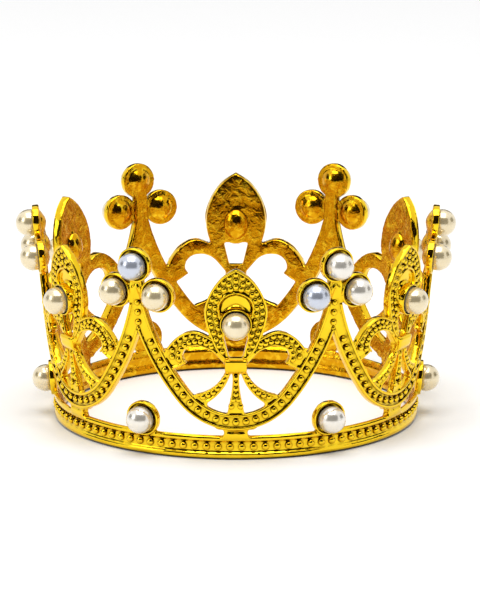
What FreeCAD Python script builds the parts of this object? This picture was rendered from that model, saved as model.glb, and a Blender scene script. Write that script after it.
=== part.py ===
import FreeCAD, Part
import Sketcher
import math
import os

from FreeCAD import Placement, Rotation, Vector

# Cast metal ring crown, plated in gold, with imitation pearls glued into cups.
# Millimetres, +Z up. The axis of the ring is Z, the lower rim stands at Z = 0 and
# the front, with one of the fleurs, faces -Y.

doc = FreeCAD.newDocument("crown")

SIZES = [
    # word, value, what it measures
    ("bays", 6, "equal bays round the ring, one fleur in each"),
    ("rim_radius", 53.2, "outer radius of the wall at the foot"),
    ("flare", 5.7, "degrees that the wall leans outwards"),
    ("pattern_height", 27.0, "height at which widths of the pattern are true"),
    ("wall", 2.3, "thickness of the casting"),
    ("relief", 0.55, "depth of the beaded channels"),
    ("ridge_width", 0.65, "ridge left on each side of a channel"),
    ("band_height", 7.4, "height of the band under the pattern"),
    ("band_wall", 2.6, "thickness of the band"),
    ("band_proud", 0.25, "band in front of the wall"),
    ("band_channel_low", 2.1, "lower edge of the band's beaded channel"),
    ("band_channel_high", 5.4, "upper edge of the band's beaded channel"),
    ("band_channel_depth", 0.7, "depth of the band's beaded channel"),
    ("band_groove_depth", 0.5, "depth of the groove inside the band"),
    ("pearl_radius", 4.0, "radius of every pearl"),
    ("glue_gap", 0.1, "glue between a pearl and its seat"),
    ("pearl_stand", 1.2, "pearl centre in front of the cup's rim"),
    ("cup_bore", 4.6, "inner radius of a cup's rim"),
    ("cup_rim", 0.6, "thickness of a cup's rim"),
    ("cup_depth", 2.1, "height of a cup's rim, front to back"),
    ("cup_floor", 1.4, "depth of the rim's bore"),
    ("cup_proud", 0.5, "rim in front of the wall"),
    ("dome_wall", 0.75, "metal behind a pearl"),
    ("top_height", 58.0, "top pearl of a trefoil"),
    ("pair_height", 49.4, "two lower pearls of a trefoil"),
    ("pair_reach", 6.7, "lower pearls from the trefoil's middle"),
    ("foot_pearl_height", 11.0, "pearl that stands on the band"),
    ("swag_low", 11.5, "lowest point of the garland's middle line"),
    ("swag_radius", 20.3, "radius of the garland's lower bend"),
    ("swag_turn", 50.0, "degrees of the lower bend on each side"),
    ("swag_top", 45.5, "height where two garlands meet"),
    ("swag_width", 4.7, "width of the garland"),
    ("stem_width", 4.0, "width of the stem under a trefoil"),
    ("tab_waist", 7.2, "narrowest width of the tab under a garland"),
    ("tab_width", 10.0, "width of the tab where it meets band and garland"),
    ("slot_width", 5.8, "width of the slot across the tab"),
    ("slot_low", 8.25, "lower edge of that slot"),
    ("slot_high", 9.0, "upper edge of that slot"),
    ("petal_foot", 30.4, "lowest point of the tall petal"),
    ("petal_foot_half", 2.8, "half width of the tall petal at its foot"),
    ("petal_flank", 35.0, "height of its flank"),
    ("petal_flank_half", 6.2, "half width at the flank"),
    ("petal_belly", 44.2, "height of its widest place"),
    ("petal_half", 8.9, "half width at the widest place"),
    ("petal_shoulder", 50.4, "height of its shoulder"),
    ("petal_shoulder_half", 7.6, "half width at the shoulder"),
    ("petal_neck", 55.6, "height of the neck below the tip"),
    ("petal_neck_half", 4.2, "half width at the neck"),
    ("petal_tip", 58.6, "tip of the tall petal"),
    ("fleur_pearl_height", 42.2, "pearl on the tall petal"),
    ("collar_rise", 1.7, "fleur cup's rim in front of the petal"),
    ("collar_bore", 4.2, "inner radius of the fleur cup's rim"),
    ("collar_rim", 0.45, "thickness of the fleur cup's rim"),
    ("recess_depth", 1.2, "depth of the petal's sunk field"),
    ("recess_top", 46.2, "centre of the sunk field's round top"),
    ("recess_radius", 4.7, "radius of the sunk field's round top"),
    ("window_low", 31.4, "lower edge of the petal's opening"),
    ("window_low_half", 2.0, "half width of the opening at the bottom"),
    ("window_high_half", 3.6, "half width of the opening at the top"),
    ("cuff_low", 26.6, "lower edge of the cuff"),
    ("cuff_high", 31.2, "upper edge of the cuff"),
    ("cuff_width", 6.4, "width of the cuff"),
    ("cuff_bulge", 1.3, "cuff in front of the wall"),
    ("cuff_roll", 0.95, "radius of the roll along the cuff's top"),
    ("leaf_foot", 28.6, "foot of a side petal, behind the cuff"),
    ("leaf_crest", 39.2, "highest point of a side petal"),
    ("leaf_crest_out", 12.4, "that point from the fleur's middle"),
    ("leaf_width", 4.5, "width of a side petal"),
    ("leaf_end", 21.8, "outer end of a side petal from the middle"),
    ("leaf_end_height", 30.8, "height of that end, on the garland"),
    ("hook_out", 14.6, "curled tip of a side petal from the middle"),
    ("hook_height", 29.3, "height of the curled tip"),
    ("petal_drop_radius", 3.8, "radius of the drop behind the fleur's cup"),
    ("petal_drop_reach", 12.0, "from its middle up to its point"),
    ("petal_drop_proud", 2.0, "drop behind the wall"),
    ("stem_drop_radius", 3.6, "radius of the drop behind a trefoil's top cup"),
    ("stem_drop_reach", 11.0, "from its middle down the stem to its point"),
    ("stem_drop_proud", 1.0, "drop behind the wall"),
    ("tail_low_half", 2.7, "half width of the middle tail at the bottom"),
    ("tail_high_half", 1.15, "half width of the middle tail at the top"),
    ("side_tail_near", 8.6, "inner corner of an outer tail's end"),
    ("side_tail_near_height", 17.3, "height of that corner"),
    ("side_tail_near_turn", 26.0, "degrees along the garland to its root"),
    ("side_tail_far", 12.4, "outer corner of an outer tail's end"),
    ("side_tail_far_height", 19.7, "height of that corner"),
    ("side_tail_far_turn", 42.0, "degrees along the garland to its root"),
]

sheet = doc.addObject("Spreadsheet::Sheet", "sizes")
for row, (word, value, meaning) in enumerate(SIZES, start=1):
    sheet.set(f"A{row}", word)
    sheet.set(f"B{row}", str(value))
    sheet.set(f"C{row}", meaning)
    sheet.setAlias(f"B{row}", word)
doc.recompute()


def size(word):
    return float(sheet.get(word))


# Shape of the wall. A point of the flat pattern is (x, y): x runs round the wall at
# the pattern height and y is the height. Wrapping turns x into an angle on a cone.
BAYS = int(size("bays"))
SLOPE = math.tan(math.radians(size("flare")))
SLANT = math.cos(math.radians(size("flare")))
PATTERN_RADIUS = size("rim_radius") + SLOPE * size("pattern_height")
HALF_BAY = math.pi * PATTERN_RADIUS / BAYS
FRONT = -math.pi / 2
CLEAR = 3.0          # how far a cutter runs past the metal


def wall_cone(depth):
    """Cone that lies depth behind the outer face of the wall."""
    cone = Part.Cone()
    cone.Radius = size("rim_radius") - depth / SLANT
    cone.SemiAngle = math.radians(size("flare"))
    return cone


def wrapped_edge(edge, cone):
    flat = edge.toNurbs().Edges[0]
    curve = flat.Curve
    if not isinstance(curve, Part.BSplineCurve):
        curve = curve.toBSpline(*flat.ParameterRange)
    curve = curve.copy()
    curve.segment(*flat.ParameterRange)
    poles = [FreeCAD.Base.Vector2d(p.x / PATTERN_RADIUS + FRONT, p.y / SLANT) for p in curve.getPoles()]
    around = Part.Geom2d.BSplineCurve2d()
    around.buildFromPolesMultsKnots(poles, curve.getMultiplicities(), curve.getKnots(), False,
                                    curve.Degree, curve.getWeights())
    return around.toShape(cone)


def wrapped_wire(wire, cone):
    return Part.Wire([wrapped_edge(edge, cone) for edge in wire.OrderedEdges])


def wrapped_face(wires, cone):
    face = Part.Face(cone, wires[0])
    for wire in wires[1:]:
        face = face.cut(Part.Face(cone, wire))
    return face.Faces


def wrapped_solid(flat, front, back):
    """Solid over a flat face, from front to back of the wall's outer face."""
    outline = [flat.OuterWire] + [w for w in flat.Wires if not w.isSame(flat.OuterWire)]
    near, far = wall_cone(front), wall_cone(back)
    near_wires = [wrapped_wire(w, near) for w in outline]
    far_wires = [wrapped_wire(w, far) for w in outline]
    faces = wrapped_face(near_wires, near) + wrapped_face(far_wires, far)
    for near_wire, far_wire in zip(near_wires, far_wires):
        for edge, behind in zip(near_wire.OrderedEdges, far_wire.OrderedEdges):
            faces += Part.makeRuledSurface(edge, behind).Faces
    shell = Part.makeShell(faces)
    shell.sewShape()
    solid = Part.Solid(shell)
    if solid.Volume < 0:
        solid.reverse()
    return solid


def wrapped_solids(flat, front, back):
    return [wrapped_solid(face, front, back) for face in flat.Faces]


def at_wall(height, out, turn=0.0):
    """Placement on the wall: local Z is its outward normal, local Y runs up it."""
    up = Rotation(Vector(1, 0, 0), 90 + size("flare"))
    stand = Placement(Vector(0, -size("rim_radius") - SLOPE * height, height), up)
    around = Placement(Vector(0, 0, 0), Rotation(Vector(0, 0, 1), turn + math.degrees(out / PATTERN_RADIUS)))
    return around.multiply(stand)


def placed(shape, placement):
    copy = shape.copy()
    copy.Placement = placement.multiply(copy.Placement)
    return copy


def along_axis(distance):
    return Placement(Vector(0, 0, distance), Rotation())


# Flat pattern helpers: strokes of one width, and outlines of straight, bent or
# flowing runs.
def stroke(edges, width):
    """Plate of one width along a line."""
    outline = Part.Wire(edges).makeOffset2D(width / 2, join=0, fill=False, openResult=False)
    return slab(Part.Face(outline))


def flowing(points):
    """Smooth line through points."""
    curve = Part.BSplineCurve()
    curve.interpolate(Points=[Vector(x, y, 0) for x, y in points])
    return curve.toShape()


def polygon(points):
    corners = [Vector(x, y, 0) for x, y in points]
    return slab(Part.Face(Part.makePolygon(corners + corners[:1])))


def mirrored(shape):
    return shape.mirror(Vector(0, 0, 0), Vector(1, 0, 0))


def slab(face):
    """Thin plate on a flat face, for joining and cutting outlines."""
    plate = face.Faces[0].extrude(Vector(0, 0, 1))
    if plate.Volume < 0:
        plate.reverse()
    return plate


def both_sides(plate):
    return plate.fuse(mirrored(plate)).removeSplitter()


def outline_of(plates):
    """Faces under joined plates."""
    return Part.makeCompound([face for face in plates.Faces if abs(face.CenterOfMass.z) < 0.01])


def on_bend(angle):
    """Point on the lower bend of the garland's middle line."""
    radius = size("swag_radius")
    return Vector(radius * math.sin(angle), size("swag_low") + radius * (1 - math.cos(angle)), 0)


def garland_line():
    """Right half of the garland's middle line: a lower bend, then a tangent rise."""
    turn = math.radians(size("swag_turn"))
    joint = on_bend(turn)
    normal = Vector(-math.sin(turn), math.cos(turn), 0)
    top = Vector(HALF_BAY, size("swag_top"), 0)
    reach = top - joint
    rise_radius = reach.dot(reach) / (2 * reach.dot(normal))
    centre = joint + normal * rise_radius
    middle = (joint + top) * 0.5 - centre
    middle.normalize()
    bend = Part.Arc(on_bend(0), on_bend(turn / 2), joint).toShape()
    rise = Part.Arc(joint, centre + middle * rise_radius, top).toShape()
    along = (top - centre).cross(Vector(0, 0, -1))
    along.normalize()
    over = Part.LineSegment(top, top + along * size("swag_width")).toShape()
    return [bend, rise, over]


def garland(width):
    start = Part.LineSegment(Vector(-size("swag_width"), size("swag_low"), 0),
                             Vector(0, size("swag_low"), 0)).toShape()
    return both_sides(stroke([start] + garland_line(), width))


def stem(width):
    low, high = size("swag_top") - 2, size("top_height")
    near, far = HALF_BAY - width / 2, HALF_BAY + width / 2
    return both_sides(polygon([(near, low), (far, low), (far, high), (near, high)]))


def closed(edges, inset=0.0):
    """Plate inside a closed outline, drawn in by inset."""
    outline = Part.Face(Part.Wire(Part.sortEdges(edges)[0]))
    if inset:
        outline = Part.Face(outline.makeOffset2D(-inset, join=0).Wires[0])
    return slab(outline)


def line(start, end):
    return Part.LineSegment(Vector(*start, 0), Vector(*end, 0)).toShape()


def petal(inset=0.0):
    """Tall pear-shaped petal with a pointed tip."""
    foot = (size("petal_foot_half"), size("petal_foot"))
    side = flowing([foot, (size("petal_flank_half"), size("petal_flank")),
                    (size("petal_half"), size("petal_belly")),
                    (size("petal_shoulder_half"), size("petal_shoulder")),
                    (size("petal_neck_half"), size("petal_neck")), (0, size("petal_tip"))])
    return closed([line((-foot[0], foot[1]), foot), side, mirrored(side)], inset)


def recess(grow=0.0):
    """Pear-shaped sunk field of the tall petal."""
    top, radius = size("recess_top"), size("recess_radius") + grow
    foot = (size("window_low_half") + grow, size("window_low") - grow)
    crown = Part.Arc(Vector(radius, top, 0), Vector(0, top + radius, 0), Vector(-radius, top, 0)).toShape()
    return closed([crown, line((radius, top), foot), line(foot, (-foot[0], foot[1])),
                   line((-foot[0], foot[1]), (-radius, top))])


def leaf(inset=0.0):
    """Side petal: it rises from the cuff, bends over and curls in on the garland."""
    wide, foot = size("leaf_width"), size("leaf_foot")
    crest, out = size("leaf_crest"), size("leaf_crest_out")
    end = (size("leaf_end"), size("leaf_end_height"))
    tip = (size("hook_out"), size("hook_height"))
    on_garland = (end[0] - 0.6, end[1] - wide)
    under = (tip[0] + 2.8, tip[1] - 1.7)
    start = (size("cuff_width") / 2 - 1.2, foot + 3.0)
    base = (size("cuff_width") / 2 - 0.8, foot)
    outer = flowing([start, (out - 7.4, crest - 3.4), (out - 4.1, crest - 1.2), (out, crest),
                     (out + wide, crest - 1.9), (end[0] - 1.4, end[1] + 2.6), end])
    inner = flowing([base, (out - 7.4, crest - wide - 3.3), (out - 5.2, crest - wide - 1.1),
                     (out - 1.2, crest - wide + 0.1), (tip[0] + 0.1, tip[1] + 4.3),
                     (tip[0] + 1.2, tip[1] + 2.0), tip])
    return closed([outer, line(end, on_garland), line(on_garland, under), line(under, tip), inner,
                   line(base, start)], inset)


def middle_tail(inset=0.0):
    high, low = size("cuff_low") + 1, size("swag_low")
    narrow, wide = size("tail_high_half"), size("tail_low_half")
    side = flowing([(narrow, high), (narrow * 1.15, (high + low) / 2 + 1), (wide, low + size("swag_width") / 2),
                    (wide + 0.5, low)])
    return closed([line((-narrow, high), (narrow, high)), side, mirrored(side),
                   line((-wide - 0.5, low), (wide + 0.5, low))], inset)


def side_tail(inset=0.0):
    """Outer tail, a trumpet curve from the cuff to the garland."""
    high = size("cuff_low") + 1
    near = (size("side_tail_near"), size("side_tail_near_height"))
    far = (size("side_tail_far"), size("side_tail_far_height"))
    near_root = tuple(on_bend(math.radians(size("side_tail_near_turn"))))[:2]
    far_root = tuple(on_bend(math.radians(size("side_tail_far_turn"))))[:2]
    start = (size("tail_high_half") + 0.2, high)
    corner = (size("cuff_width") / 2 - 0.2, high)
    inner = flowing([start, (near[0] * 0.24, high - 2.6), (near[0] * 0.55, high - 7.0), near])
    outer = flowing([corner, (far[0] * 0.45, high - 4.4), (far[0] * 0.67, high - 6.4), far])
    return closed([inner, outer, line(start, corner), line(near, near_root), line(near_root, far_root),
                   line(far_root, far)], inset)


def tab():
    waist, wide = size("tab_waist") / 2, size("tab_width") / 2
    low, high = size("band_height") - 1, size("swag_low") - size("swag_width") / 2 + 1
    side = Part.Arc(Vector(wide, low, 0), Vector(waist, (low + high) / 2, 0), Vector(wide, high, 0)).toShape()
    return closed([side, mirrored(side), line((-wide, high), (wide, high)), line((-wide, low), (wide, low))])


def window():
    """Opening in the petal between the cuff and the cup."""
    low, cup_height = size("window_low"), size("fleur_pearl_height")
    collar_radius = size("collar_bore") + size("collar_rim")
    cup = slab(Part.Face(Part.Wire(Part.makeCircle(collar_radius, Vector(0, cup_height, 0)))))
    high = cup_height - size("collar_bore")
    shape = polygon([(-size("window_low_half"), low), (size("window_low_half"), low),
                     (size("window_high_half"), high), (-size("window_high_half"), high)])
    return shape.cut(cup)


def bay_limits():
    high = size("top_height") + 3 * size("pearl_radius")
    return polygon([(-HALF_BAY, 0), (HALF_BAY, 0), (HALF_BAY, high), (-HALF_BAY, high)])


def cuff_field():
    low, high, half = size("cuff_low"), size("cuff_high"), size("cuff_width") / 2
    return polygon([(-half, low), (half, low), (half, high), (-half, high)])


def slot():
    """Narrow slot across the tab, under the garland."""
    half, low, high = size("slot_width") / 2, size("slot_low"), size("slot_high")
    return polygon([(-half, low), (half, low), (half, high), (-half, high)])


def bay_pattern():
    pieces = [stem(size("stem_width")), petal(), both_sides(leaf()), both_sides(side_tail()),
              middle_tail(), tab(), cuff_field()]
    plate = garland(size("swag_width")).multiFuse(pieces).cut(window())
    return plate.common(bay_limits()).removeSplitter()


def channel_pattern():
    """Sunk fields that hold the beads, between plain ridges."""
    ridge = size("ridge_width")
    swag = garland(size("swag_width") - 2 * ridge)
    whole_swag = garland(size("swag_width"))
    border = petal(ridge).cut(recess(ridge))
    side = both_sides(leaf(ridge)).cut(petal()).cut(whole_swag)
    ends = middle_tail(ridge * 0.7).multiFuse([both_sides(side_tail(ridge))]).cut(whole_swag)
    post = stem(size("stem_width") - 2 * ridge).cut(whole_swag)
    fields = swag.multiFuse([border, side, ends, post, slot()])
    return fields.common(bay_limits()).removeSplitter()


# Band: one turned ring with a rounded foot, a channel for the beads, a rounded upper
# ridge and a shallow groove inside.
def profile_sketch(body, name, points):
    """Closed sketch on the body's XZ plane, each corner bound to the sheet."""
    sketch = body.newObject("Sketcher::SketchObject", name)
    plane = [f for f in body.Origin.OriginFeatures if f.Role == "XZ_Plane"][0]
    sketch.AttachmentSupport = [(plane, "")]
    sketch.MapMode = "FlatFace"
    corners = [Vector(sheet_value(across), sheet_value(up), 0) for across, up in points]
    last = len(points)
    for index in range(last):
        sketch.addGeometry(Part.LineSegment(corners[index], corners[(index + 1) % last]), False)
    for index in range(last):
        sketch.addConstraint(Sketcher.Constraint("Coincident", index, 2, (index + 1) % last, 1))
    for index, (across, up) in enumerate(points):
        for kind, rule, value in (("DistanceX", across, corners[index].x), ("DistanceY", up, corners[index].y)):
            number = sketch.addConstraint(Sketcher.Constraint(kind, -1, 1, index, 1, value))
            sketch.setExpression(f"Constraints[{number}]", rule)
    return sketch


scratch = doc.addObject("Spreadsheet::Sheet", "profile_points")


def sheet_value(rule):
    """Number that an expression on the sheet gives."""
    scratch.set("A1", "=" + rule)
    scratch.recompute()
    return float(scratch.get("A1"))


band = doc.addObject("PartDesign::Body", "band")
foot = "sizes.rim_radius + sizes.band_proud"
back = f"{foot} - sizes.band_wall"
floor = f"{foot} - sizes.band_channel_depth"
groove = f"{back} + sizes.band_groove_depth"
lean = "tan(sizes.flare)"
round_off = "sizes.band_wall * 0.3"
profile = [
    (f"{back} + {round_off}", "0"),
    (f"{foot} - {round_off}", "0"),
    (foot, round_off),
    (foot, f"sizes.band_channel_low - {round_off} * 0.3"),
    (floor, "sizes.band_channel_low"),
    (floor, "sizes.band_channel_high"),
    (foot, f"sizes.band_channel_high + {round_off} * 0.3"),
    (f"{foot} + 0.05", f"sizes.band_height - {round_off}"),
    (f"{foot} - {round_off}", "sizes.band_height"),
    (f"{back} + {round_off}", f"sizes.band_height - {round_off}"),
    (back, f"sizes.band_channel_high"),
    (groove, f"sizes.band_channel_high - {round_off}"),
    (groove, f"sizes.band_channel_low + {round_off}"),
    (back, f"sizes.band_channel_low"),
    (back, round_off),
]
profile_sketch(band, "band_profile", profile)
turned = band.newObject("PartDesign::Revolution", "band_turned")
turned.Profile = doc.getObject("band_profile")
turned.ReferenceAxis = (doc.getObject("band_profile"), ["V_Axis"])
turned.Angle = 360


# Cup of a pearl, drawn about local Z with the wall's outer face at 0: a round rim, a
# dome behind it, and the space that is cut out for the pearl and its glue.
def bound(kind, name, **rules):
    """Part primitive with each size given by a rule on the sheet."""
    item = doc.addObject(kind, name)
    for prop, rule in rules.items():
        item.setExpression(prop.replace("_", "."), rule)
    return item


rim_front = "sizes.cup_proud"
pearl_out = f"{rim_front} + sizes.pearl_stand"
rim = bound("Part::Cylinder", "cup_rim_solid", Radius="sizes.cup_bore + sizes.cup_rim",
            Height="sizes.cup_depth", Placement_Base_z=f"{rim_front} - sizes.cup_depth")
dome = bound("Part::Sphere", "cup_dome", Radius="sizes.pearl_radius + sizes.glue_gap + sizes.dome_wall",
             Placement_Base_z=pearl_out)
behind = bound("Part::Cylinder", "cup_back_space", Radius="sizes.cup_bore + sizes.cup_rim",
               Height="sizes.pearl_radius * 2",
               Placement_Base_z=f"{rim_front} - sizes.cup_depth / 2 - sizes.pearl_radius * 2")
dome_back = doc.addObject("Part::Common", "cup_dome_back")
dome_back.Base, dome_back.Tool = dome, behind
cup = doc.addObject("Part::Fuse", "pearl_cup")
cup.Base, cup.Tool = rim, dome_back
bore = bound("Part::Cylinder", "cup_bore_space", Radius="sizes.cup_bore",
             Height="sizes.pearl_radius * 3", Placement_Base_z=f"{rim_front} - sizes.cup_floor")
seat = bound("Part::Sphere", "pearl_seat", Radius="sizes.pearl_radius + sizes.glue_gap",
             Placement_Base_z=pearl_out)
hollow = doc.addObject("Part::Fuse", "pearl_space")
hollow.Base, hollow.Tool = bore, seat
collar_bore = bound("Part::Cylinder", "collar_bore_space", Radius="sizes.collar_bore",
                    Height="sizes.pearl_radius * 3", Placement_Base_z=f"{rim_front} - sizes.cup_floor")
collar_hollow = doc.addObject("Part::Fuse", "fleur_pearl_space")
collar_hollow.Base, collar_hollow.Tool = collar_bore, seat
collar = bound("Part::Cylinder", "fleur_collar", Radius="sizes.collar_bore + sizes.collar_rim",
               Height="sizes.collar_rise + sizes.recess_depth + sizes.relief",
               Placement_Base_z="-sizes.recess_depth - sizes.relief")
doc.recompute()


def cuff():
    """Rounded strap round the fleur's waist, with a thicker roll at its top."""
    low, high = size("cuff_low"), size("cuff_high")
    wall_back = size("wall") / SLANT

    def on_wall(height, out=0.0):
        return Vector(size("rim_radius") + SLOPE * height + out, 0, height)

    bulge = Part.Arc(on_wall(low), on_wall((low + high) / 2, size("cuff_bulge")), on_wall(high)).toShape()
    inside = [on_wall(high), on_wall(high, -wall_back), on_wall(low, -wall_back), on_wall(low)]
    strap = Part.Face(Part.Wire([bulge] + Part.makePolygon(inside).Edges))
    roll_centre = on_wall(high - size("cuff_roll"), size("cuff_roll") * 0.6)
    roll = Part.Face(Part.Wire(Part.makeCircle(size("cuff_roll"), roll_centre, Vector(0, 1, 0))))
    turn = math.degrees(size("cuff_width") / PATTERN_RADIUS)
    axis = (Vector(0, 0, 0), Vector(0, 0, 1), turn)
    shape = strap.revolve(*axis).fuse(roll.revolve(*axis))
    return placed(shape, Placement(Vector(0, 0, 0), Rotation(Vector(0, 0, 1), -90 - turn / 2)))


# Assembly of the casting: one bay is made, copied round the ring and joined to the
# band. The spaces for the pearls are cut last, so that no ridge runs into a pearl.
BAY_TURN = 360 / BAYS
pair_places = [at_wall(size("pair_height"), side * (HALF_BAY - size("pair_reach"))) for side in (-1, 1)]
fleur_place = at_wall(size("fleur_pearl_height"), 0)
fleur_step = along_axis(size("collar_rise") - size("cup_proud"))


def turned_by(angle):
    return Placement(Vector(0, 0, 0), Rotation(Vector(0, 0, 1), angle))


def drop(radius, reach, proud):
    """Turned drop, round at one end and pointed up local Y, that stands behind the wall."""
    rise = math.asin(radius / reach)

    def on_ball(angle):
        return Vector(radius * math.cos(angle), radius * math.sin(angle), 0)

    low, joint, point = Vector(0, -radius, 0), on_ball(rise), Vector(0, reach, 0)
    bow = Part.Arc(low, on_ball((rise - math.pi / 2) / 2), joint).toShape()
    half = Part.Face(Part.Wire([bow, Part.makeLine(joint, point), Part.makeLine(point, low)]))
    spindle = half.revolve(Vector(0, 0, 0), Vector(0, 1, 0), 360)
    spindle.translate(Vector(0, 0, radius - proud - size("wall")))
    room = Part.makeBox(2 * reach, 2 * reach, reach)
    room.translate(Vector(-reach, -reach, -reach - size("recess_depth") - size("glue_gap")))
    return spindle.common(room)


def bay():
    pattern = wrapped_solid(outline_of(bay_pattern()).Faces[0], 0, size("wall"))
    for place in pair_places:
        pattern = pattern.fuse(placed(cup.Shape, place))
    fields = wrapped_solids(outline_of(channel_pattern()), -CLEAR, size("relief"))
    fields += wrapped_solids(outline_of(recess()), -CLEAR, size("recess_depth"))
    for field in fields:
        pattern = pattern.cut(field)
    petal_drop = drop(size("petal_drop_radius"), size("petal_drop_reach"), size("petal_drop_proud"))
    for piece in (placed(collar.Shape, fleur_place), cuff(), placed(petal_drop, fleur_place)):
        pattern = pattern.fuse(piece)
    spaces = [placed(hollow.Shape, place) for place in pair_places]
    spaces.append(placed(collar_hollow.Shape, fleur_place.multiply(fleur_step)))
    return pattern.cut(spaces)


def ring():
    """Band with the six cups that stand on it."""
    shape = band.Shape
    for place in between_bays("foot_pearl_height"):
        shape = shape.fuse(placed(cup.Shape, place))
    return shape


def between_bays(height):
    return [at_wall(size(height), 0, BAY_TURN * (index + 0.5)) for index in range(BAYS)]


def casting_shape():
    one_bay, shape = bay(), ring()
    stem_drop = drop(size("stem_drop_radius"), size("stem_drop_reach"), size("stem_drop_proud"))
    upside_down = Placement(Vector(0, 0, 0), Rotation(Vector(0, 0, 1), 180))
    for index in range(BAYS):
        shape = shape.fuse(placed(one_bay, turned_by(BAY_TURN * index)))
    for index, place in enumerate(between_bays("top_height")):
        shape = shape.fuse(placed(cup.Shape, place).fuse(placed(stem_drop, place.multiply(upside_down))))
    places = between_bays("top_height") + between_bays("foot_pearl_height")
    return shape.cut([placed(hollow.Shape, place) for place in places])


casting = doc.addObject("Part::Feature", "crown_casting")
casting.Shape = casting_shape()
nodes = [casting]

# Pearls: one glass bead for each cup, glued on its seat. Their names count the bays
# anticlockwise from the front, seen from above.
pearl_step = along_axis(size("cup_proud") + size("pearl_stand"))
pearl_places = {
    "fleur_pearl": fleur_place.multiply(fleur_step),
    "trefoil_left_pearl": pair_places[0],
    "trefoil_right_pearl": pair_places[1],
    "trefoil_top_pearl": at_wall(size("top_height"), HALF_BAY),
    "band_pearl": at_wall(size("foot_pearl_height"), HALF_BAY),
}
for kind, place in pearl_places.items():
    for index in range(BAYS):
        pearl = bound("Part::Sphere", f"{kind}_{index + 1}", Radius="sizes.pearl_radius")
        pearl.Placement = turned_by(BAY_TURN * index).multiply(place).multiply(pearl_step)
        nodes.append(pearl)

doc.recompute()
for item in doc.Objects:
    if "Invalid" in item.State or "Error" in item.State:
        raise RuntimeError(f"{item.Name} failed: {item.State}")
for node in nodes:
    if node.Shape.isNull() or not node.Shape.isValid() or len(node.Shape.Solids) != 1:
        raise RuntimeError(f"{node.Label} is not one valid solid")

os.makedirs("parts", exist_ok=True)
for node in nodes:
    node.Shape.exportStep(os.path.join("parts", f"{node.Label}.step"))
print(f"{len(nodes)} pieces, casting {casting.Shape.Volume / 1000:.2f} cm3")
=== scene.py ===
import math

import bpy
from mathutils import Matrix, Vector, kdtree, noise


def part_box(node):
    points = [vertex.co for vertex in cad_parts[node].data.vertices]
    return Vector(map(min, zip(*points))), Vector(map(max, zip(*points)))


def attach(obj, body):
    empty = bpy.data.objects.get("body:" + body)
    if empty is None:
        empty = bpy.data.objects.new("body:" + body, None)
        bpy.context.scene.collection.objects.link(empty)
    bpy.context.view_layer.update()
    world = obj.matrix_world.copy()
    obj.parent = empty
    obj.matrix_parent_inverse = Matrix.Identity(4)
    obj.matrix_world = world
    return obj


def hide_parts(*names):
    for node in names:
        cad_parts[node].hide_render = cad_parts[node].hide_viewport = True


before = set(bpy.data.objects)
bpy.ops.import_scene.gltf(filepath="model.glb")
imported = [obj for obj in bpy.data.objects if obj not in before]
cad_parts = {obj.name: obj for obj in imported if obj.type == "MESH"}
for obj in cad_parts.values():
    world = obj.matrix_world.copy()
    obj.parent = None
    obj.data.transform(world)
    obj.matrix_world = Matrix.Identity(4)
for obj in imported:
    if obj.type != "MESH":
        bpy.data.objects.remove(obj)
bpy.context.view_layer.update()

# Camera: a long lens from 14 degrees above the table, in front of the fleur that faces
# -Y, so that the ring of the crown shows as a flat ellipse and hardly narrows behind.
MM = 0.001
VIEW_RISE = math.radians(14.4)
VIEW_DISTANCE = 4.0
PHOTO_LONG_SIDE = 600
PHOTO_MM_PER_PIXEL = 0.294
SENSOR = 36.0
LOOK_AT = Vector((1.2, 0.0, 34.4)) * MM

camera_data = bpy.data.cameras.new("photo_camera")
camera_data.sensor_width = SENSOR
camera_data.lens = SENSOR * VIEW_DISTANCE / (PHOTO_LONG_SIDE * PHOTO_MM_PER_PIXEL * MM)
camera_data.clip_end = 20.0
camera = bpy.data.objects.new("photo_camera", camera_data)
bpy.context.collection.objects.link(camera)
towards = Vector((0.0, -math.cos(VIEW_RISE), math.sin(VIEW_RISE)))
camera.location = LOOK_AT + towards * VIEW_DISTANCE
camera.rotation_euler = (math.radians(90) - VIEW_RISE, 0.0, 0.0)
bpy.context.scene.camera = camera
bpy.context.scene.view_settings.view_transform = "Standard"


# Gold-plated casting
# The ring is one casting of zinc alloy, cast together with its cups and then plated. It
# is bright on the face and a little rough and amber on the back. Its corners and crevices
# are darkened with painted shade.
GOLD_FACE = "FBDB2E"
GOLD_DEEP = "EDBC20"
GOLD_INSIDE = "D79C10"
GOLD_INSIDE_BRIGHT = "F6CC28"
# Near-black brown of the painted shade in corners, channels and round the beads.
PAINTED_CREVICE_SHADE = "2E1C02"
CREVICE_REACH = 1.1
CASTING_VOXEL = 0.24
CASTING_TRIANGLES = 190000
CUP_REACH = 5.7
RELIEF_ROUNDS = 9
EDGE_ROUNDS = 3
WAVE_WIDTH = 5.0
HAMMER_WIDTH = 4.2
HAMMER_DEPTH = 0.16
MOTTLE_WIDTH = 2.1
GRAIN_WIDTH = 0.35
RIM_RADIUS = 53.2
WALL = 2.3
BAND_HEIGHT = 7.4
FLARE = math.tan(math.radians(5.7))
PATTERN_RADIUS = RIM_RADIUS + FLARE * 27.0
BAYS = 6
HALF_BAY = math.pi * PATTERN_RADIUS / BAYS


def linear(hex_colour):
    """sRGB hex to the linear colour that a shader takes."""
    channels = [int(hex_colour[i:i + 2], 16) / 255 for i in (0, 2, 4)]
    return [c / 12.92 if c <= 0.04045 else ((c + 0.055) / 1.055) ** 2.4 for c in channels] + [1.0]


def add_node(tree, kind, links=(), **settings):
    """Adds one node: settings are its properties or inputs, links are (input, socket)."""
    node = tree.nodes.new(kind)
    for name, value in settings.items():
        if hasattr(node, name):
            setattr(node, name, value)
        else:
            node.inputs[name.replace("_", " ")].default_value = value
    for name, socket in links:
        tree.links.new(socket, node.inputs[name])
    return node


def new_material(name):
    material = bpy.data.materials.new(name)
    material.use_nodes = True
    material.node_tree.nodes.clear()
    return material, material.node_tree


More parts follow.
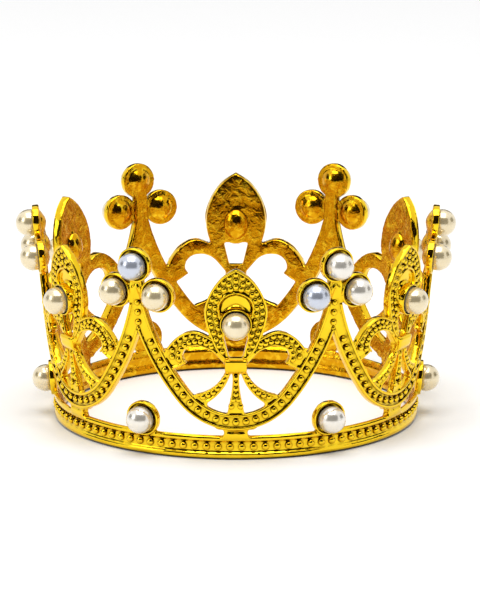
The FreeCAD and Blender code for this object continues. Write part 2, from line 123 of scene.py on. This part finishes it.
def blended(tree, factor, low, high):
    """Colour between two hex colours, by a factor socket."""
    mix = add_node(tree, "ShaderNodeMix", data_type="RGBA", clamp_factor=True)
    mix.inputs[6].default_value = linear(low)
    mix.inputs[7].default_value = linear(high)
    tree.links.new(factor, mix.inputs[0])
    return mix.outputs[2]


def gold_plating():
    """Bright gold plating on cast zinc: mirror-like with faint waves of the casting, with painted shade in its
    corners.
    """
    material, tree = new_material("gold_plating")
    place = add_node(tree, "ShaderNodeTexCoord").outputs["Object"]
    geometry = add_node(tree, "ShaderNodeNewGeometry")
    split = add_node(tree, "ShaderNodeSeparateXYZ", [("Vector", place)])
    facing = add_node(tree, "ShaderNodeSeparateXYZ", [("Vector", geometry.outputs["Normal"])])

    def product(a, b):
        return add_node(tree, "ShaderNodeMath", [(0, a), (1, b)], operation="MULTIPLY").outputs[0]

    outward = add_node(tree, "ShaderNodeMath", [(0, product(split.outputs[0], facing.outputs[0])),
                                                (1, product(split.outputs[1], facing.outputs[1]))],
                       operation="ADD").outputs[0]
    inside = add_node(tree, "ShaderNodeMapRange", [("Value", outward)], From_Min=0.006, From_Max=-0.03)
    inner = inside.outputs["Result"]

    waves = add_node(tree, "ShaderNodeTexNoise", [("Vector", place)], Scale=1 / (WAVE_WIDTH * MM),
                     Detail=2.0)
    hammer = add_node(tree, "ShaderNodeTexNoise", [("Vector", place)], Scale=1 / (MOTTLE_WIDTH * MM),
                      Detail=3.0, Distortion=0.6)
    grain = add_node(tree, "ShaderNodeTexNoise", [("Vector", place)], Scale=1 / (GRAIN_WIDTH * MM),
                     Detail=2.0)
    patches = add_node(tree, "ShaderNodeMapRange", [("Value", hammer.outputs[0])],
                       From_Min=0.48, From_Max=0.68)
    face_colour = blended(tree, waves.outputs[0], GOLD_DEEP, GOLD_FACE)
    colour = add_node(tree, "ShaderNodeMix", data_type="RGBA", clamp_factor=True)
    tree.links.new(blended(tree, patches.outputs["Result"], GOLD_INSIDE, GOLD_INSIDE_BRIGHT), colour.inputs[7])
    tree.links.new(inner, colour.inputs[0])
    tree.links.new(face_colour, colour.inputs[6])
    # Painted shade: an ambient-occlusion mask darkens the colour towards the painted shade colour in corners,
    # channels and round the beads.
    open_to = add_node(tree, "ShaderNodeAmbientOcclusion", Distance=CREVICE_REACH * MM, samples=8)
    shade_free = add_node(tree, "ShaderNodeMapRange", [("Value", open_to.outputs["AO"])],
                       From_Min=0.32, From_Max=0.88)
    crevice_shaded = add_node(tree, "ShaderNodeMix", data_type="RGBA", clamp_factor=True)
    crevice_shaded.inputs[6].default_value = linear(PAINTED_CREVICE_SHADE)
    tree.links.new(shade_free.outputs["Result"], crevice_shaded.inputs[0])
    tree.links.new(colour.outputs[2], crevice_shaded.inputs[7])
    rough = add_node(tree, "ShaderNodeMapRange", [("Value", inner)], To_Min=0.07, To_Max=0.16)
    depth = add_node(tree, "ShaderNodeMapRange", [("Value", inner)], To_Min=0.05, To_Max=0.6)
    uneven = add_node(tree, "ShaderNodeBump", [("Height", hammer.outputs[0]), ("Strength", depth.outputs[0])],
                      Distance=0.35 * MM)
    fine = add_node(tree, "ShaderNodeBump", [("Height", grain.outputs[0]), ("Normal", uneven.outputs[0])],
                    Strength=0.12, Distance=0.02 * MM)
    shader = add_node(tree, "ShaderNodeBsdfPrincipled",
                      [("Base Color", crevice_shaded.outputs[2]), ("Roughness", rough.outputs[0]),
                       ("Normal", fine.outputs[0])], Metallic=1.0)
    add_node(tree, "ShaderNodeOutputMaterial", [("Surface", shader.outputs[0])])
    return material


GOLD = gold_plating()


def finished(name, mesh, material, smooth=True):
    piece = bpy.data.objects.new(name, mesh)
    bpy.context.collection.objects.link(piece)
    mesh.materials.clear()
    mesh.materials.append(material)
    if smooth:
        mesh.shade_smooth()
    return piece


def applied(piece):
    """Applies the modifiers of a piece to its mesh."""
    graph = bpy.context.evaluated_depsgraph_get()
    mesh = bpy.data.meshes.new_from_object(piece.evaluated_get(graph))
    piece.modifiers.clear()
    piece.data = mesh
    return piece


def hammer_mark(place, normal):
    """Depth of the shallow dents on the back of the wall, above the band."""
    radial = math.hypot(place.x, place.y)
    behind = (RIM_RADIUS + FLARE * place.z - radial) * math.cos(math.atan(FLARE))
    faces_in = (place.x * normal.x + place.y * normal.y) / radial < -0.8
    if place.z < BAND_HEIGHT + 1 or not faces_in or abs(behind - WALL) > 0.35:
        return 0.0
    nearest = noise.voronoi(place / HAMMER_WIDTH)[0][0]
    return HAMMER_DEPTH * (min(nearest, 0.8) ** 2 * 2 - 0.5)


def cast_crown():
    """Casting with the rounded edges that a mould and the plating give."""
    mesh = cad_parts["crown_casting"].data.copy()
    piece = finished("cast_crown", mesh, GOLD)
    remesh = piece.modifiers.new("cast skin", "REMESH")
    remesh.mode = "VOXEL"
    remesh.voxel_size = CASTING_VOXEL * MM * 1.0
    applied(piece)
    relief = piece.vertex_groups.new(name="relief")
    cups = [(low + high) / 2 for low, high in (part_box(n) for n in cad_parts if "pearl" in n)]
    near = kdtree.KDTree(len(cups))
    for index, centre in enumerate(cups):
        near.insert(centre, index)
    near.balance()
    away = [v.index for v in piece.data.vertices if near.find(v.co)[2] > CUP_REACH * MM]
    relief.add(away, 1.0, "REPLACE")
    for name, group, rounds in (("rounded relief", "relief", RELIEF_ROUNDS),
                                ("rounded edges", "", EDGE_ROUNDS)):
        smooth = piece.modifiers.new(name, "SMOOTH")
        smooth.factor = 0.5
        smooth.iterations = rounds
        smooth.vertex_group = group
    applied(piece)
    triangles = sum(len(p.vertices) - 2 for p in piece.data.polygons)
    if triangles > CASTING_TRIANGLES:
        thin = piece.modifiers.new("fewer faces", "DECIMATE")
        thin.ratio = CASTING_TRIANGLES / triangles
        applied(piece)
    places = [(vertex.co.copy(), vertex.normal.copy()) for vertex in piece.data.vertices]
    dented = [place + normal * hammer_mark(place / MM, normal) * MM for place, normal in places]
    piece.data.vertices.foreach_set("co", [value for place in dented for value in place])
    piece.data.update()
    piece.data.shade_smooth()
    return piece


crown = cast_crown()
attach(crown, "root")
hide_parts("crown_casting")


# Beads in the channels
# Rows of small round studs, cast in one with the crown, that imitate set stones.
BEAD_SIDES = 12
BEAD_RINGS = 4
BEAD_CAP = math.radians(52)
BEAD_SUNK = 0.1


def on_wall(x, height, out=0.0, turn=0.0):
    """Point and frame on the wall: x runs round it, out is in front of its face."""
    angle = x / PATTERN_RADIUS + turn
    radius = RIM_RADIUS + FLARE * height
    slant = math.atan(FLARE)
    outward = Vector((math.sin(angle) * math.cos(slant), -math.cos(angle) * math.cos(slant), -math.sin(slant)))
    side = Vector((math.cos(angle), math.sin(angle), 0.0))
    point = Vector((math.sin(angle) * radius, -math.cos(angle) * radius, height)) + outward * out
    return point * MM, Matrix((side, outward.cross(side), outward)).transposed()


def bead_mesh(name, beads, sides=BEAD_SIDES, rings=BEAD_RINGS):
    """One mesh of round studs from (point, frame, radius, height) in millimetres."""
    verts, faces = [], []
    for point, axes, radius, rise in beads:
        first = len(verts)
        ball = radius / math.sin(BEAD_CAP)
        for ring in range(rings + 1):
            lean = BEAD_CAP * (1 - ring / rings)
            across, up = math.sin(lean) * ball, rise - ball * (1 - math.cos(lean))
            if ring == rings:
                verts.append(point + axes @ Vector((0, 0, rise * MM)))
                break
            for side in range(sides):
                turn = side / sides * 2 * math.pi
                verts.append(point + axes @ (Vector((math.cos(turn) * across, math.sin(turn) * across, up)) * MM))
        for side in range(sides):
            verts.append(verts[first + side] - axes @ Vector((0, 0, (rise + BEAD_SUNK) * MM)))
        foot = first + rings * sides + 1
        for side in range(sides):
            nxt = (side + 1) % sides
            faces.append((foot + side, foot + nxt, first + nxt, first + side))
            for ring in range(rings - 1):
                low = first + ring * sides
                faces.append((low + side, low + nxt, low + sides + nxt, low + sides + side))
            top = first + (rings - 1) * sides
            faces.append((top + side, top + nxt, first + rings * sides))
        faces.append(tuple(foot + side for side in reversed(range(sides))))
    mesh = bpy.data.meshes.new(name)
    mesh.from_pydata([tuple(v) for v in verts], [], faces)
    return mesh


def flowing(points, count=24):
    """Smooth line through a few (x, height) points."""
    line = []
    ends = [points[0]] + list(points) + [points[-1]]
    for index in range(1, len(ends) - 2):
        a, b, c, d = (Vector(p) for p in ends[index - 1:index + 3])
        for step in range(count):
            t = step / count
            line.append(0.5 * (2 * b + (c - a) * t + (2 * a - 5 * b + 4 * c - d) * t * t
                               + (3 * b - a - 3 * c + d) * t ** 3))
    line.append(Vector(points[-1]))
    return line


def spaced(line, count, start=0.0, end=None):
    """Points at equal steps along a line."""
    lengths = [0.0]
    for a, b in zip(line, line[1:]):
        lengths.append(lengths[-1] + (b - a).length)
    end = lengths[-1] if end is None else end
    found = []
    for index in range(count):
        goal = start + (end - start) * index / max(count - 1, 1)
        spot = next((i for i in range(1, len(lengths)) if lengths[i] >= goal - 1e-9), len(lengths) - 1)
        step = lengths[spot] - lengths[spot - 1]
        share = (goal - lengths[spot - 1]) / step if step else 0.0
        found.append(line[spot - 1].lerp(line[spot], share))
    return found


def mirrored(places):
    """The same places left of the middle of the bay."""
    return [Vector((-p[0], p[1])) for p in places]


def both_sides(places):
    return list(places) + mirrored(places)


def bead_piece(name, places, radius, rise, floor):
    """Beads at (x, height) places of one bay, repeated in every bay."""
    beads = []
    for bay in range(BAYS):
        turn = 2 * math.pi * bay / BAYS
        for place in places:
            size = place[2] if len(place) > 2 else 1.0
            point, axes = on_wall(place[0], place[1], floor, turn)
            beads.append((point, axes, radius * size, rise * size))
    piece = finished(name, bead_mesh(name, beads), GOLD)
    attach(piece, "root")
    return piece


# Garland and stem beads
# One row in the channel of each garland, from its lowest point up both sides, then a
# column in the stem under each trefoil. Cast with the crown.
SWAG_LOW, SWAG_RADIUS, SWAG_TURN = 11.5, 20.3, math.radians(50)
SWAG_TOP = 45.5
GARLAND_STEP = 3.05
GARLAND_SIDE_BEADS = 12
CHANNEL_FLOOR = -0.55


def garland_line():
    bend = [Vector((SWAG_RADIUS * math.sin(a), SWAG_LOW + SWAG_RADIUS * (1 - math.cos(a))))
            for a in (SWAG_TURN * i / 40 for i in range(41))]
    joint, top = bend[-1], Vector((HALF_BAY, SWAG_TOP))
    normal = Vector((-math.sin(SWAG_TURN), math.cos(SWAG_TURN)))
    reach = top - joint
    rise_radius = reach.dot(reach) / (2 * reach.dot(normal))
    centre = joint + normal * rise_radius
    sweep = 2 * math.asin(reach.length / (2 * rise_radius))
    rise = []
    for i in range(1, 41):
        a = SWAG_TURN + sweep * i / 40
        rise.append(centre + Vector((math.sin(a), -math.cos(a))) * rise_radius)
    return bend + rise


garland = spaced(garland_line(), GARLAND_SIDE_BEADS + 1, 0.0, GARLAND_STEP * GARLAND_SIDE_BEADS)
garland_places = [garland[0]] + both_sides(garland[1:])
bead_piece("garland_beads", garland_places, 1.0, 1.0, CHANNEL_FLOOR)
stem_column = [(HALF_BAY, 46.4, 0.9), (HALF_BAY, 43.4), (HALF_BAY, 40.4), (HALF_BAY, 38.5, 0.7)]
bead_piece("stem_beads", stem_column, 0.95, 0.95, CHANNEL_FLOOR)


# Garland and fleur rims
# The rounded rims on both sides of each garland and the fine rims of the fleurs, cast
# with the crown. They carry the long highlights of the pattern.
RIM_SIDES = 10
RIM_STEP = 0.5
GARLAND_WIDTH = 4.7
GARLAND_RIM = (0.42, 0.3)
FINE_RIM = (0.3, 0.2)
STEM_TOP = 47.6
PETAL_EDGE = [(2.8, 30.4), (6.2, 35.0), (8.9, 44.2), (7.6, 50.4), (4.2, 55.6), (0.0, 58.6)]
LEAF_TOP_EDGE = [(6.4, 36.9), (8.3, 38.0), (12.4, 39.2), (16.9, 37.3), (20.4, 33.4)]
LEAF_LOW_EDGE = [(6.0, 32.5), (7.2, 33.6), (11.2, 34.8), (14.7, 33.6), (15.8, 31.3), (14.6, 29.3)]


def moved_aside(line, aside):
    """Line at a constant distance from another: positive lies to its left."""
    moved = []
    for index, point in enumerate(line):
        along = (line[min(index + 1, len(line) - 1)] - line[max(index - 1, 0)]).normalized()
        moved.append(point + Vector((-along.y, along.x)) * aside)
    return moved


def through_middle(line):
    """Whole line of a bay from its right half, which starts at the middle."""
    return mirrored(reversed(line[1:])) + list(line)


def rim_mesh(name, lines, width, rise):
    """Closed rods of oval section, half sunk in the wall, along flat lines of one bay."""
    verts, faces = [], []
    for bay in range(BAYS):
        for line in lines:
            length = sum((b - a).length for a, b in zip(line, line[1:]))
            places = spaced(line, max(int(length / RIM_STEP), 4))
            spots = [on_wall(p[0], p[1], 0.0, 2 * math.pi * bay / BAYS) for p in places]
            first = len(verts)
            for index, (point, axes) in enumerate(spots):
                ahead, behind = spots[min(index + 1, len(spots) - 1)][0], spots[max(index - 1, 0)][0]
                along = (ahead - behind).normalized()
                outward = axes.col[2]
                aside = along.cross(outward).normalized()
                for side in range(RIM_SIDES):
                    turn = 2 * math.pi * side / RIM_SIDES
                    verts.append(point + (aside * math.cos(turn) * width
                                          + outward * math.sin(turn) * rise) * MM)
            for index in range(len(spots) - 1):
                low = first + index * RIM_SIDES
                for side in range(RIM_SIDES):
                    nxt = (side + 1) % RIM_SIDES
                    faces.append((low + side, low + nxt, low + RIM_SIDES + nxt, low + RIM_SIDES + side))
            faces.append(tuple(first + side for side in reversed(range(RIM_SIDES))))
            faces.append(tuple(len(verts) - RIM_SIDES + side for side in range(RIM_SIDES)))
    mesh = bpy.data.meshes.new(name)
    mesh.from_pydata([tuple(v) for v in verts], [], faces)
    return mesh


def rim_piece(name, lines, section):
    piece = finished(name, rim_mesh(name, lines, *section), GOLD)
    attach(piece, "root")


rim_offset = GARLAND_WIDTH / 2 - GARLAND_RIM[0]
upper_rim = [p for p in moved_aside(garland_line(), rim_offset) if p.y < STEM_TOP]
lower_rim = [p for p in moved_aside(garland_line(), -rim_offset) if p.x < HALF_BAY]
rim_piece("garland_rims", [through_middle(upper_rim), through_middle(lower_rim)], GARLAND_RIM)
petal_rim = moved_aside(flowing(PETAL_EDGE), FINE_RIM[0])
petal_rim[-1] = Vector((0.0, petal_rim[-1].y))
leaf_rims = [moved_aside(flowing(LEAF_TOP_EDGE), -FINE_RIM[0]),
             moved_aside(flowing(LEAF_LOW_EDGE), FINE_RIM[0])]
fine_lines = [list(reversed(through_middle(list(reversed(petal_rim)))))] + leaf_rims
fine_lines += [mirrored(line) for line in leaf_rims]
rim_piece("fleur_rims", fine_lines, FINE_RIM)


# Band beads
# A row of larger round studs in the channel round the band, evenly spaced.
BAND_BEADS_PER_BAY = 16
BAND_BEAD_HEIGHT = 3.75
BAND_CHANNEL_FLOOR = -0.75
band_places = [((i + 0.5) * 2 * HALF_BAY / BAND_BEADS_PER_BAY, BAND_BEAD_HEIGHT)
               for i in range(BAND_BEADS_PER_BAY)]
bead_piece("band_beads", band_places, 1.05, 1.0, BAND_CHANNEL_FLOOR)


# Fleur beads
# Close-set small studs fill the border of the tall petal, the two side petals and the
# three tails, as stones would in a pave setting.
PETAL_OUTER = [(3.9, 33.2), (5.3, 35.9), (6.3, 38.9), (7.05, 41.0), (7.5, 43.6), (7.45, 46.4), (6.7, 49.0),
               (5.1, 52.3), (2.7, 55.3), (0.0, 56.9)]
PETAL_INNER = [(4.1, 36.3), (4.75, 39.5), (5.6, 43.0), (5.95, 45.6), (5.5, 48.4), (4.4, 50.9), (2.0, 53.9)]
LEAF_OUTER = [(7.3, 35.7), (9.6, 37.2), (12.4, 37.8), (14.9, 37.1), (17.0, 35.6), (18.6, 33.4), (18.9, 30.9)]
LEAF_INNER = [(7.1, 34.7), (8.8, 35.6), (11.2, 36.1), (13.9, 35.5), (15.8, 33.9), (16.8, 32.0), (16.8, 30.2)]
OUTER_TAIL = [(2.6, 26.1), (4.2, 23.6), (6.4, 20.9), (8.2, 19.8), (9.9, 19.1)]
petal_tip = [(0.0, 55.0), (0.0, 53.2), (1.5, 52.4), (-1.5, 52.4)]
middle_tail = [(0.0, 25.2), (0.0, 23.5), (0.0, 21.8), (0.0, 20.1), (0.8, 18.5), (-0.8, 18.5),
               (1.4, 16.4), (-1.4, 16.4)]
fleur_places = both_sides(spaced(flowing(PETAL_OUTER), 14)[:-1]) + [Vector(PETAL_OUTER[-1])]
fleur_places += both_sides(spaced(flowing(PETAL_INNER), 10))
fleur_places += both_sides(spaced(flowing(LEAF_OUTER), 9))
fleur_places += both_sides(spaced(flowing(LEAF_INNER), 9))
fleur_places += both_sides(spaced(flowing(OUTER_TAIL), 7))
fleur_places += [Vector(p) for p in petal_tip + middle_tail]
bead_piece("fleur_beads", fleur_places, 0.86, 0.85, CHANNEL_FLOOR)


# Domes behind the petals
# A blind dome of the casting behind each fleur's cup, taller than wide and with a small
# point above it. It takes the pearl's seat and is left as cast and plated.
DOME_HEIGHT = 43.2
DOME_HALF = 3.5
DOME_RISE = 2.25
DOME_TALL = 1.25
DOME_SIDES = 40
DOME_RINGS = 14


def petal_domes():
    domes = []
    for bay in range(BAYS):
        point, axes = on_wall(0.0, DOME_HEIGHT, -WALL, 2 * math.pi * bay / BAYS)
        domes.append((point, axes @ Matrix.Diagonal((-1.0, DOME_TALL, -1.0)), DOME_HALF, DOME_RISE))
    piece = finished("petal_domes", bead_mesh("petal_domes", domes, DOME_SIDES, DOME_RINGS), GOLD)
    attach(piece, "root")


petal_domes()


# Imitation pearls
# Round glass or resin beads dipped in pearl essence, glued into their cups. Most are
# cream, and some of the front trefoils' pearls are silver-blue.
PEARL_SEGMENTS = 64
PEARL_RINGS = 32
CREAM = ("E2CC98", "EDDFBC")
WHITE = ("E6DECE", "F0ECE4")
SILVER = ("B9C0D0", "CBD1DE")
CLOUD_WIDTH = 3.0
SKIN_WIDTH = 0.5


def pearl_coat(name, deep, body):
    """Pearl essence under clear lacquer: soft metallic sheen, glossy coat, faint clouds."""
    material, tree = new_material(name)
    place = add_node(tree, "ShaderNodeTexCoord").outputs["Object"]
    cloud = add_node(tree, "ShaderNodeTexNoise", [("Vector", place)], Scale=1 / (CLOUD_WIDTH * MM), Detail=2.0)
    colour = blended(tree, cloud.outputs[0], deep, body)
    skin = add_node(tree, "ShaderNodeTexNoise", [("Vector", place)], Scale=1 / (SKIN_WIDTH * MM), Detail=1.0)
    bump = add_node(tree, "ShaderNodeBump", [("Height", skin.outputs[0])], Strength=0.05, Distance=0.02 * MM)
    shader = add_node(tree, "ShaderNodeBsdfPrincipled",
                      [("Base Color", colour), ("Normal", bump.outputs[0])],
                      Metallic=0.6, Roughness=0.26, Coat_Weight=1.0, Coat_Roughness=0.08,
                      Coat_IOR=2.1, Sheen_Weight=0.3, Sheen_Roughness=0.35)
    add_node(tree, "ShaderNodeOutputMaterial", [("Surface", shader.outputs[0])])
    return material


PEARLS = {"cream": pearl_coat("cream_pearl", *CREAM), "white": pearl_coat("white_pearl", *WHITE),
          "silver": pearl_coat("silver_pearl", *SILVER)}
SILVER_PEARLS = {"trefoil_top_pearl_6", "trefoil_right_pearl_1"}
WHITE_PEARLS = {"trefoil_top_pearl_1", "band_pearl_1", "band_pearl_6", "trefoil_left_pearl_2"}


def round_pearl(node):
    low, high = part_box(node)
    centre, radius = (low + high) / 2, (high.x - low.x) / 2
    verts, faces = [centre + Vector((0, 0, radius))], []
    for ring in range(1, PEARL_RINGS):
        lift = math.pi * ring / PEARL_RINGS
        for side in range(PEARL_SEGMENTS):
            turn = 2 * math.pi * side / PEARL_SEGMENTS
            verts.append(centre + radius * Vector((math.sin(lift) * math.cos(turn),
                                                   math.sin(lift) * math.sin(turn), math.cos(lift))))
    verts.append(centre - Vector((0, 0, radius)))
    last = len(verts) - 1
    for side in range(PEARL_SEGMENTS):
        nxt = (side + 1) % PEARL_SEGMENTS
        faces.append((0, 1 + side, 1 + nxt))
        for ring in range(PEARL_RINGS - 2):
            low_row = 1 + ring * PEARL_SEGMENTS
            faces.append((low_row + side, low_row + PEARL_SEGMENTS + side,
                          low_row + PEARL_SEGMENTS + nxt, low_row + nxt))
        foot = 1 + (PEARL_RINGS - 2) * PEARL_SEGMENTS
        faces.append((foot + side, last, foot + nxt))
    mesh = bpy.data.meshes.new(node + "_skin")
    mesh.from_pydata([tuple(v) for v in verts], [], faces)
    kind = "silver" if node in SILVER_PEARLS else "white" if node in WHITE_PEARLS else "cream"
    piece = finished(node + "_skin", mesh, PEARLS[kind])
    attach(piece, "root")
    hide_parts(node)


for node in sorted(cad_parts):
    if "pearl" in node:
        round_pearl(node)


# Studio
# A white table that runs on to a white surround, a large soft lamp above and one from
# the front, and dark cards that only the gloss of the metal and the pearls sees.
TABLE = "FFFFFF"
CARD = "1A1206"


def plain(name, colour, roughness=0.9):
    material, tree = new_material(name)
    place = add_node(tree, "ShaderNodeTexCoord").outputs["Object"]
    fibre = add_node(tree, "ShaderNodeTexNoise", [("Vector", place)], Scale=400.0)
    bump = add_node(tree, "ShaderNodeBump", [("Height", fibre.outputs[0])], Strength=0.02, Distance=0.05 * MM)
    shader = add_node(tree, "ShaderNodeBsdfPrincipled", [("Normal", bump.outputs[0])],
                      Base_Color=linear(colour), Roughness=roughness, Specular_IOR_Level=0.1)
    add_node(tree, "ShaderNodeOutputMaterial", [("Surface", shader.outputs[0])])
    return material


def board(name, width, height, location, rotation, material):
    mesh = bpy.data.meshes.new(name)
    w, h = width / 2, height / 2
    mesh.from_pydata([(-w, -h, 0), (w, -h, 0), (w, h, 0), (-w, h, 0)], [], [(0, 1, 2, 3)])
    piece = finished(name, mesh, material, smooth=False)
    piece.location = location
    piece.rotation_euler = rotation
    return piece


board("table", 6.0, 6.0, (0, 0, 0), (0, 0, 0), plain("white_table", TABLE))

dark = plain("dark_card", CARD)
for name, width, height, location, rotation in (
        ("card_front", 2.3, 1.1, (0, -0.86, 0.54), (math.radians(60), 0, 0)),
        ("card_left", 0.7, 0.5, (-1.1, 0.1, 0.4), (math.radians(80), 0, math.radians(-90))),
        ("card_right", 0.7, 0.5, (1.1, 0.1, 0.4), (math.radians(80), 0, math.radians(90))),
        ("card_back", 1.2, 0.6, (0, 1.1, 0.5), (math.radians(-75), 0, 0))):
    card = board(name, width, height, location, rotation, dark)
    card.visible_camera = False
    card.visible_diffuse = False
    card.visible_shadow = False


def soft_lamp(name, width, power, location, aim):
    data = bpy.data.lights.new(name, "AREA")
    data.shape = "SQUARE"
    data.size = width
    data.energy = power
    lamp = bpy.data.objects.new(name, data)
    bpy.context.collection.objects.link(lamp)
    lamp.location = location
    lamp.rotation_euler = (Vector(aim) - Vector(location)).to_track_quat("-Z", "Y").to_euler()
    return lamp


soft_lamp("top_lamp", 0.9, 9.0, (0.0, -0.15, 1.1), (0, 0, 0.03))
soft_lamp("side_lamp", 0.6, 2.5, (-1.0, -0.6, 0.7), (0, 0, 0.03))

world = bpy.data.worlds.new("studio")
bpy.context.scene.world = world
world.use_nodes = True
world.node_tree.nodes.clear()
rays = add_node(world.node_tree, "ShaderNodeLightPath")
seen = add_node(world.node_tree, "ShaderNodeMath", [(0, rays.outputs["Is Camera Ray"]),
                                                    (1, rays.outputs["Is Glossy Ray"])], operation="MAXIMUM")
seen = add_node(world.node_tree, "ShaderNodeMath", [(0, seen.outputs[0]),
                                                    (1, rays.outputs["Is Transmission Ray"])],
                operation="MAXIMUM")
level = add_node(world.node_tree, "ShaderNodeMapRange", [("Value", seen.outputs[0])], To_Min=0.55, To_Max=1.0)
sky = add_node(world.node_tree, "ShaderNodeBackground", [("Strength", level.outputs[0])],
               Color=(1.0, 1.0, 1.0, 1.0))
add_node(world.node_tree, "ShaderNodeOutputWorld", [("Surface", sky.outputs[0])])
